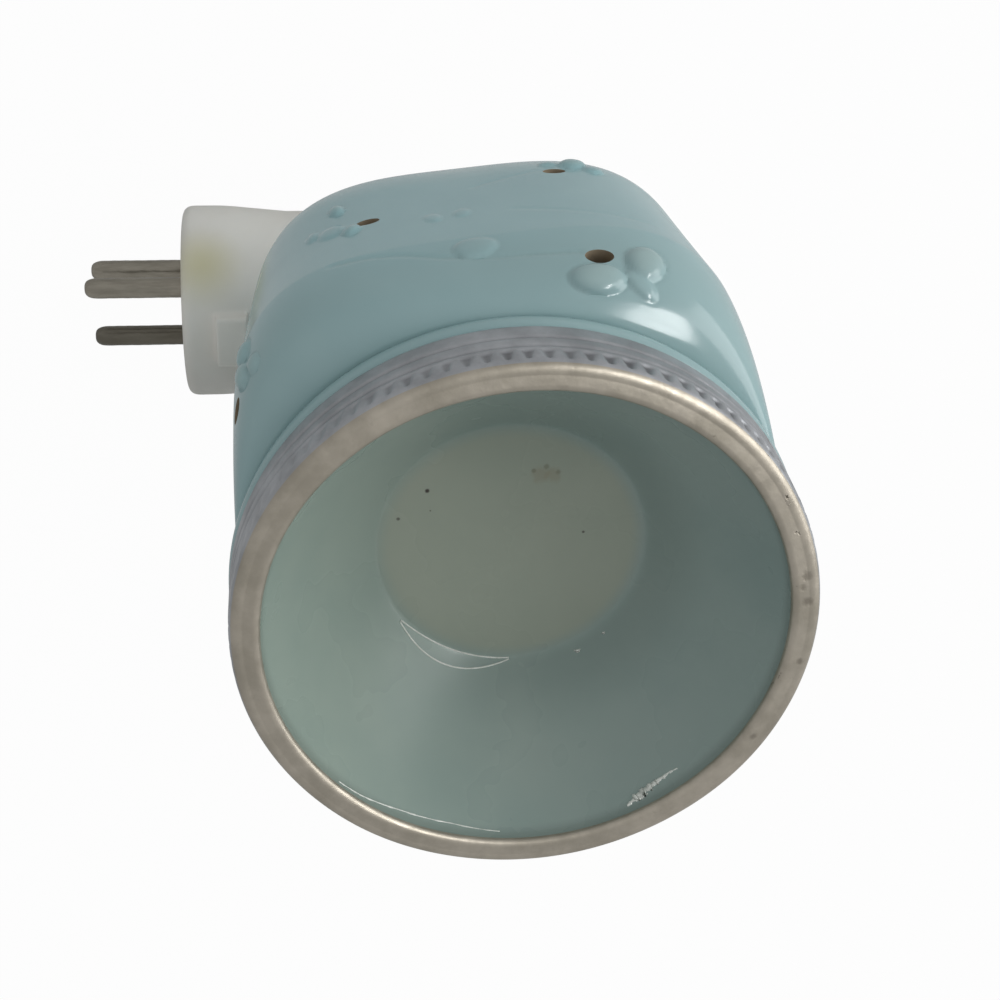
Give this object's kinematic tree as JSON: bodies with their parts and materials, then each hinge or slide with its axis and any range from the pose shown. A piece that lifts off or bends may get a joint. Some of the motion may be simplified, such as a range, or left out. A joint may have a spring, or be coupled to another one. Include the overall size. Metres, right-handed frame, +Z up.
{
  "type": "electric wax warmer",
  "caption": "Plug-in electric wax warmer: a rounded-square ceramic jar with blossom relief and light holes, a lift-off wax dish like a jar lid, a lamp inside and a swivel wall plug.",
  "frame": {"origin": "centre of the plug's rear face, where it meets the outlet", "axes": "+Y into the outlet along the pins, +Z up along the jar's axis, +X to the right for a person facing the wall"},
  "size_m": [0.1007, 0.1158, 0.1406],
  "materials": {
    "celadon_glaze": "glossy grey-green glaze, thicker and darker in the relief",
    "silver_glaze": "glossy blue-green bowl under a worn silver band and rim",
    "white_plastic": "satin moulded plastic, slightly yellowed",
    "carrier_plastic": "satin moulded plastic, yellowed",
    "pin_metal": "dull nickel plating, tarnished",
    "contact_brass": "bare stamped brass",
    "plated_steel": "zinc plated",
    "rubber_seal": "matt",
    "fibre": "pressed insulating fibre",
    "dark_insulator": "moulded heat-proof resin",
    "lamp_glass": "clear",
    "filament_metal": "drawn wire",
    "red_insulation": "heat-proof sleeve",
    "blue_insulation": "heat-proof sleeve"
  },
  "bodies": {
    "lamp": {"jar_body": "celadon_glaze", "jar_gasket": "rubber_seal", "nut_washer": "fibre", "ring_nut": "dark_insulator", "lampholder_body": "dark_insulator", "screw_shell": "contact_brass", "centre_contact": "contact_brass", "side_contact": "contact_brass", "neck_screw_a": "plated_steel", "neck_screw_b": "plated_steel", "bulb_glass": "lamp_glass", "bulb_cap": "plated_steel", "bulb_insulator": "dark_insulator", "bulb_tip": "plated_steel", "bulb_stem": "lamp_glass", "bulb_filament": "filament_metal", "elbow_housing": "white_plastic", "front_cap": "white_plastic", "cap_screw_a": "plated_steel", "cap_screw_b": "plated_steel", "wave_washer": "plated_steel", "brush_board": "fibre", "brush_line": "contact_brass", "brush_neutral": "contact_brass", "retaining_ring": "plated_steel", "lead_line": "red_insulation", "lead_neutral": "blue_insulation"},
    "dish": {"wax_dish": "silver_glaze"},
    "plug": {"pin_carrier": "carrier_plastic", "pin_line": "pin_metal", "pin_neutral": "pin_metal", "pin_earth": "pin_metal", "track_line": "contact_brass", "track_neutral": "contact_brass"}
  },
  "joints": [
    {"name": "dish_lift", "type": "slide", "parent": "lamp", "child": "dish", "axis": [0, 0, 1], "range_m": [0, 0.045]},
    {"name": "plug_swivel", "type": "hinge", "parent": "lamp", "child": "plug", "pos_m": [0, 0, 0], "axis": [0, 1, 0], "range_deg": [-52.9, 37.1]}
  ]
}
